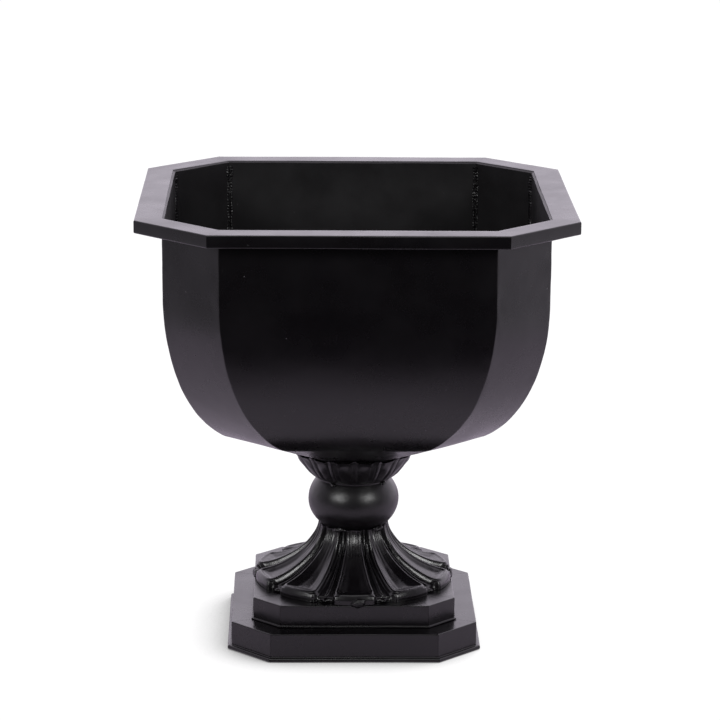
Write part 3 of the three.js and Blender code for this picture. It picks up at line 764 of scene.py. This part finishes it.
def cup_rings():
    angles, across = columns_round(LEAVES, CUP_COLUMNS)
    aside = np.abs(across)
    slot = (1 - bell(0, 0.13, aside)) * (1 - rise(0.66, 0.92, aside))
    tip = CUP_LEDGE_HEIGHT + underside_at(CUP_TOP * np.cos(angles), CUP_TOP * np.sin(angles))
    rings = []
    for t in np.linspace(1, 0, CUP_ROWS):
        radius = CUP_NECK + (CUP_TOP - CUP_NECK) * t ** CUP_SPREAD
        half_pitch = math.pi * radius / LEAVES
        off_rib = aside * half_pitch
        off_fold = (1 - aside) * half_pitch
        started = rise(0, 0.3, t)
        rib = started * (1.0 * bell(0, 1.8, off_rib) - 0.4 * bell(0, 0.6, off_rib))
        furrow = -0.6 * started * bell(3.4, 1.3, off_rib)
        crease = 0.7 * bell(0, 0.6, off_fold) * rise(1, 0.6, t)
        fold = started * (0.7 * bell(0, 2.6, off_fold) - crease)
        edge_line = -0.5 * started * bell(4.3, 0.8, off_fold)
        lobe = 1.3 * bell(0.5 + 0.25 * aside, 0.2, t) * bell(0.45, 0.26, aside)
        hollow = -0.9 * bell(0.88, 0.13, t) * bell(0.45, 0.26, aside)
        nub = 0.8 * (bell(0, 2.0, off_rib) + bell(0, 2.6, off_fold)) * bell(0.98, 0.06, t)
        height = CUP_COLLAR + (tip - CUP_COLLAR) * t - LEAF_DIP * rise(0.72, 1, t) * slot
        relief = rib + furrow + fold + edge_line + lobe + hollow + nub
        rings.append(polar(angles, radius + relief, CUP_Z + height))
    for radius, height in ((CUP_NECK, 0), *CUP_INSIDE):
        rings.append(polar(angles, radius, CUP_Z + height))
    lip = tip - LEAF_DIP * slot
    rings.append(polar(angles, CUP_TOP - 2.4, CUP_Z + np.minimum(lip - 0.6, tip - 1.3)))
    rings.append(polar(angles, CUP_TOP - 1.0, CUP_Z + lip - 0.2))
    return rings


cup = skinned("leaf_cup_casting", cup_rings(), loop=True, sharp_degrees=75,
              warps=((0.3, 14, 41.0), (0.12, 4, 43.0)))
stand_in(cup, "leaf_cup", SMOOTH_CAST_ENAMEL)
print("cup quads:", len(cup.data.polygons))

# %% [markdown]
# ## Tack welds
# Short, rough lumps hold one casting to the next. Each is a rounded lump, roughened by three
# warps from coarse to fine, and lies where the frame has its weld.

# %% Weld lumps
POLE_HOLE = 0.06


def weld_lump(name, node, out, along, up, seed):
    low, high = box_mm(node)
    centre = (low + high) / 2
    angle = math.degrees(math.atan2(centre[1], centre[0]))
    turns = np.linspace(0, 2 * math.pi, 28, endpoint=False)
    rings = []
    for tilt in np.linspace(math.pi / 2 - POLE_HOLE, -math.pi / 2 + POLE_HOLE, 18):
        rings.append(np.stack([out * math.cos(tilt) * np.cos(turns),
                               along * math.cos(tilt) * np.sin(turns),
                               up * math.sin(tilt) + 0 * turns], -1))
    rings = turned(np.array(rings), angle) + centre
    lump = skinned(name, rings, cap="polygon", sharp_degrees=80,
                   warps=((1.5, 5, seed), (0.7, 2.0, seed + 3), (0.25, 0.9, seed + 5)))
    return stand_in(lump, node, WELD_ENAMEL)


WELD_GROUPS = (("tack_cup_knop", 3, (1.6, 3.0, 1.9)), ("tack_knop_foot", 3, (2.3, 6.0, 2.6)),
               ("tack_foot_plinth", 4, (3.0, 7.0, 4.6)))
for prefix, count, (out, along, up) in WELD_GROUPS:
    for number in range(1, count + 1):
        node = f"{prefix}_{number}"
        weld_lump(f"{prefix}_lump_{number}", node, out, along, up, 7.0 * number + up)
print("weld lumps:", sum(count for _, count, _ in WELD_GROUPS))

# %% [markdown]
# ## Plinth
# Two folded tiers of sheet. Each side is one folded length with a ledge, an upright face and an
# out-turned lip; the lower lip is rolled into a bead that stands on the floor.

# %% Folded tiers
FOLD_ROUND = 1.0
TIER_HAIRLINE = 0.14
TIER_STEPS = (30, 12)


def folded_section(height, flange, lip, lip_height, r):
    """Ledge, face and lip of one tier, anticlockwise, from the inside of the foot."""
    section = [[-SHEET, 0]]
    section += arc(lip - r, r, r, -90, 0, 7) + arc(lip - r, lip_height - r, r, 0, 90, 7)
    section += [[0.5, lip_height - 0.15], [0, lip_height + 0.3]]
    section += [[0, z] for z in np.linspace(lip_height + 1, height - FOLD_ROUND - 0.4, 5)]
    section += arc(-FOLD_ROUND, height - FOLD_ROUND, FOLD_ROUND, 0, 90, 7)
    section += [[x, height] for x in np.linspace(-FOLD_ROUND - 1, -flange, 6)]
    section += [[-flange, height - SHEET], [-SHEET, height - SHEET]]
    return section


def tier(prefix, outline, z, section, warps):
    for index, side in enumerate(SIDES):
        distance, half_length = outline[index % 2]
        rings = bar_rings(section, distance, half_length, TIER_STEPS[index % 2], TIER_HAIRLINE)
        rings[:, :, 2] += z
        rings = turned(rings, 45 * index)
        length = skinned(f"{prefix}_folded_{side}", rings, cap="polygon", sharp_degrees=42,
                         warps=warps)
        stand_in(length, f"{prefix}_{side}", SHEET_ENAMEL)


UPPER_LOW, UPPER_HIGH = box_mm("upper_tier_front")
LOWER_LOW, LOWER_HIGH = box_mm("lower_tier_front")
UPPER_LIP = 3
BASE_LIP = 3.9
UPPER_CORNER_CUT = 25.2
UPPER_LEDGE, LOWER_LEDGE = 32, 30
UPPER_HALF = -UPPER_LOW[1] - UPPER_LIP
LOWER_HALF = -LOWER_LOW[1] - BASE_LIP
upper_outline = octagon(UPPER_HALF, UPPER_CORNER_CUT)
lower_outline = inset(upper_outline, UPPER_HALF - LOWER_HALF)
upper_section = folded_section(UPPER_HIGH[2] - UPPER_LOW[2], UPPER_LEDGE, 1.8, 1.2, 0.55)
lower_section = folded_section(LOWER_HIGH[2] - LOWER_LOW[2], LOWER_LEDGE, BASE_LIP, 4.0, 1.95)
tier("upper_tier", upper_outline, UPPER_LOW[2], upper_section, ((0.3, 60, 51.0), (0.1, 14, 53.0)))
tier("lower_tier", lower_outline, LOWER_LOW[2], lower_section, ((0.3, 80, 55.0), (0.1, 16, 57.0)))
print("plinth half widths, mm:", round(UPPER_HALF, 1), round(LOWER_HALF, 1))

# %% [markdown]
# ## Camera
# The camera stands almost three metres in front of the planter with a long lens and looks down
# thirteen and a half degrees, as in the photograph.

# %% Camera
CAMERA_PLACE = Vector((-0.0473, -2.9078, 0.9642))
PITCH_DOWN = 0.2374
YAW_RIGHT = 0.0181
ROLL = 0.0070
FOCAL_PIXELS = 3167.5
IMAGE_PIXELS = 720
SENSOR = 36


def camera_axes():
    forward = Vector((math.sin(YAW_RIGHT) * math.cos(PITCH_DOWN),
                      math.cos(YAW_RIGHT) * math.cos(PITCH_DOWN), -math.sin(PITCH_DOWN)))
    right = Vector((math.cos(YAW_RIGHT), -math.sin(YAW_RIGHT), 0))
    up = right.cross(forward)
    rolled_right = right * math.cos(ROLL) + up * math.sin(ROLL)
    rolled_up = up * math.cos(ROLL) - right * math.sin(ROLL)
    return Matrix((rolled_right, rolled_up, -forward)).transposed()


lens = bpy.data.cameras.new("studio_camera")
lens.sensor_width = SENSOR
lens.lens = FOCAL_PIXELS / IMAGE_PIXELS * SENSOR
lens.clip_end = 50
camera = bpy.data.objects.new("studio_camera", lens)
camera.matrix_world = Matrix.Translation(CAMERA_PLACE) @ camera_axes().to_4x4()
bpy.context.scene.collection.objects.link(camera)
bpy.context.scene.camera = camera
print("lens, mm:", round(lens.lens, 1))

# %% [markdown]
# ## Studio
# A black object is lit by what it mirrors. The backdrop behind it is bright and the side of the
# camera is dark, which keeps the front panel black. Two large boxes stand far off to the left and
# right, and a weak one hangs high in front; they give the castings their highlights. The camera
# sees a floor that glows as white as the backdrop, with a painted shadow in that glow: each point
# of the floor is dimmed by how much it still sees toward a direction behind and to the right, so
# the painted shadow falls to the left and to the front. What the planter mirrors is another floor,
# whose colour fades to black in front: painted shade.

# %% Floor
FLOOR_LIMITS = (-900, 900, -700, 2600)
FLOOR_STEPS = 24
FLOOR_MIRRORED = 0.8
MIRRORED_TINT = (1, 0.91, 1.03, 1)
FADE_START, FADE_END = -0.6, -0.3
FADED_SHARE = 0.05
FLOOR_WHITE = (1, 0.995, 1, 1)
SHADOW_REACH = 0.07
SHADOW_SAMPLES = 12
TOWARD_SKY = (0.43, 0.34, 0.84)
SKY_SEEN = (0.2, 0.88)
FLOOR_GLOW_UNDER_PAINTED_SHADOW = (0.2, 1.08)


def floor_piece():
    left, right, front, back = FLOOR_LIMITS
    steps = FLOOR_STEPS
    xs, ys = np.linspace(left, right, steps), np.linspace(back, front, steps)
    rings = [[[x, y, 0] for x in xs] for y in ys]
    points = np.array(rings).reshape(-1, 3)
    faces = []
    for i in range(steps - 1):
        for j in range(steps - 1):
            k = i * steps + j
            faces.append([k, k + steps, k + steps + 1, k + 1])
    return piece_from("studio_floor", points, faces, 30)


floor = floor_piece()
floor_paint = bpy.data.materials.new("white_studio_floor")
floor_paint.use_nodes = True
tree = floor_paint.node_tree
tree.nodes.clear()
lean = add_node(tree, "ShaderNodeCombineXYZ", dict(zip("XYZ", TOWARD_SKY)))
# Painted shadow: ambient occlusion dims the white glow that the camera sees on the floor.
open_sky = add_node(tree, "ShaderNodeAmbientOcclusion", {
    "Distance": SHADOW_REACH, "Normal": lean.outputs[0]}, samples=SHADOW_SAMPLES)
lit = add_node(tree, "ShaderNodeMapRange", {
    "Value": open_sky.outputs["AO"], "From Min": SKY_SEEN[0], "From Max": SKY_SEEN[1],
    "To Min": FLOOR_GLOW_UNDER_PAINTED_SHADOW[0], "To Max": FLOOR_GLOW_UNDER_PAINTED_SHADOW[1]})
white = add_node(tree, "ShaderNodeEmission", {"Color": FLOOR_WHITE, "Strength": lit.outputs[0]})
place = add_node(tree, "ShaderNodeTexCoord").outputs["Object"]
forward = add_node(tree, "ShaderNodeSeparateXYZ", {"Vector": place})
# Painted shade: the mirrored floor's colour fades to black in front of the planter.
fade = add_node(tree, "ShaderNodeMapRange", {
    "Value": forward.outputs["Y"], "From Min": FADE_START, "From Max": FADE_END,
    "To Min": FADED_SHARE * FLOOR_MIRRORED, "To Max": FLOOR_MIRRORED})
tint = add_node(tree, "ShaderNodeMix", {
    "Factor": fade.outputs["Result"], 6: (0, 0, 0, 1), 7: MIRRORED_TINT}, data_type="RGBA")
toned = add_node(tree, "ShaderNodeBsdfDiffuse", {"Color": tint.outputs[2]})
ray = add_node(tree, "ShaderNodeLightPath")
choose = add_node(tree, "ShaderNodeMixShader", {
    0: ray.outputs["Is Camera Ray"], 1: toned.outputs[0], 2: white.outputs[0]})
add_node(tree, "ShaderNodeOutputMaterial", {"Surface": choose.outputs[0]})
floor.data.materials.append(floor_paint)

# %% Surroundings
BACKDROP_FROM, BACKDROP_FULL = -0.6, 1.0
BACKDROP_LEFT, BACKDROP_RIGHT = 1.1, 1.75
CEILING_FROM, CEILING_FULL = 0.45, 0.8
CEILING = 0.3
DARK_ROOM = 0.038
ROOM_TINT = (1.0, 0.93, 1.05, 1)
SEEN_WHITE = 1.02
world = bpy.data.worlds.new("white_studio")
bpy.context.scene.world = world
world.use_nodes = True
tree = world.node_tree
tree.nodes.clear()
look = add_node(tree, "ShaderNodeTexCoord").outputs["Generated"]
part = add_node(tree, "ShaderNodeSeparateXYZ", {"Vector": look})
back = add_node(tree, "ShaderNodeMapRange", {
    "Value": part.outputs["Y"], "From Min": BACKDROP_FROM, "From Max": BACKDROP_FULL,
    "To Min": 0.0, "To Max": 1.0}, interpolation_type="SMOOTHSTEP")
rightward = add_node(tree, "ShaderNodeMapRange", {
    "Value": part.outputs["X"], "From Min": -1.0, "From Max": 1.0,
    "To Min": BACKDROP_LEFT, "To Max": BACKDROP_RIGHT})
above = add_node(tree, "ShaderNodeMapRange", {
    "Value": part.outputs["Z"], "From Min": CEILING_FROM, "From Max": CEILING_FULL,
    "To Min": 0.0, "To Max": 1.0}, interpolation_type="SMOOTHSTEP")
level = add_node(tree, "ShaderNodeMath", {
    0: back.outputs[0], 1: rightward.outputs[0]}, operation="MULTIPLY")
lifted = add_node(tree, "ShaderNodeMath", {0: level.outputs[0], 1: DARK_ROOM}, operation="ADD")
top = add_node(tree, "ShaderNodeMath", {0: above.outputs[0], 1: CEILING}, operation="MULTIPLY")
total = add_node(tree, "ShaderNodeMath", {
    0: lifted.outputs[0], 1: top.outputs[0]}, operation="MAXIMUM")
seen = add_node(tree, "ShaderNodeBackground", {"Color": (1, 1, 1, 1), "Strength": SEEN_WHITE})
mirrored = add_node(tree, "ShaderNodeBackground", {
    "Color": ROOM_TINT, "Strength": total.outputs[0]})
ray = add_node(tree, "ShaderNodeLightPath")
choose = add_node(tree, "ShaderNodeMixShader", {
    0: ray.outputs["Is Camera Ray"], 1: mirrored.outputs[0], 2: seen.outputs[0]})
add_node(tree, "ShaderNodeOutputWorld", {"Surface": choose.outputs[0]})


# %% Light boxes
LIGHT_BOXES = (("left_box", (-3.28, -3.77, 2.3), (2.0, 1.3), 115),
               ("right_box", (3.2, -3.85, 2.3), (2.0, 1.3), 130),
               ("high_front_box", (0.0, -1.1, 2.1), (1.1, 0.7), 6))


def light_box(name, place, width, height, watts, target=(0, 0, 0.15)):
    data = bpy.data.lights.new(name, "AREA")
    data.shape = "RECTANGLE"
    data.size, data.size_y = width, height
    data.energy = watts
    box = bpy.data.objects.new(name, data)
    box.location = place
    box.rotation_euler = (Vector(target) - Vector(place)).to_track_quat("-Z", "Y").to_euler()
    box.visible_camera = False
    bpy.context.scene.collection.objects.link(box)
    return box


for name, place, (width, height), watts in LIGHT_BOXES:
    light_box(name, place, width, height, watts)

# %% [markdown]
# ## Colour
# The plain sRGB transform keeps the backdrop white, as a sensor clips it, and the blacks deep.

# %% Colour management
bpy.context.scene.view_settings.view_transform = "Standard"
bpy.context.scene.view_settings.look = "None"
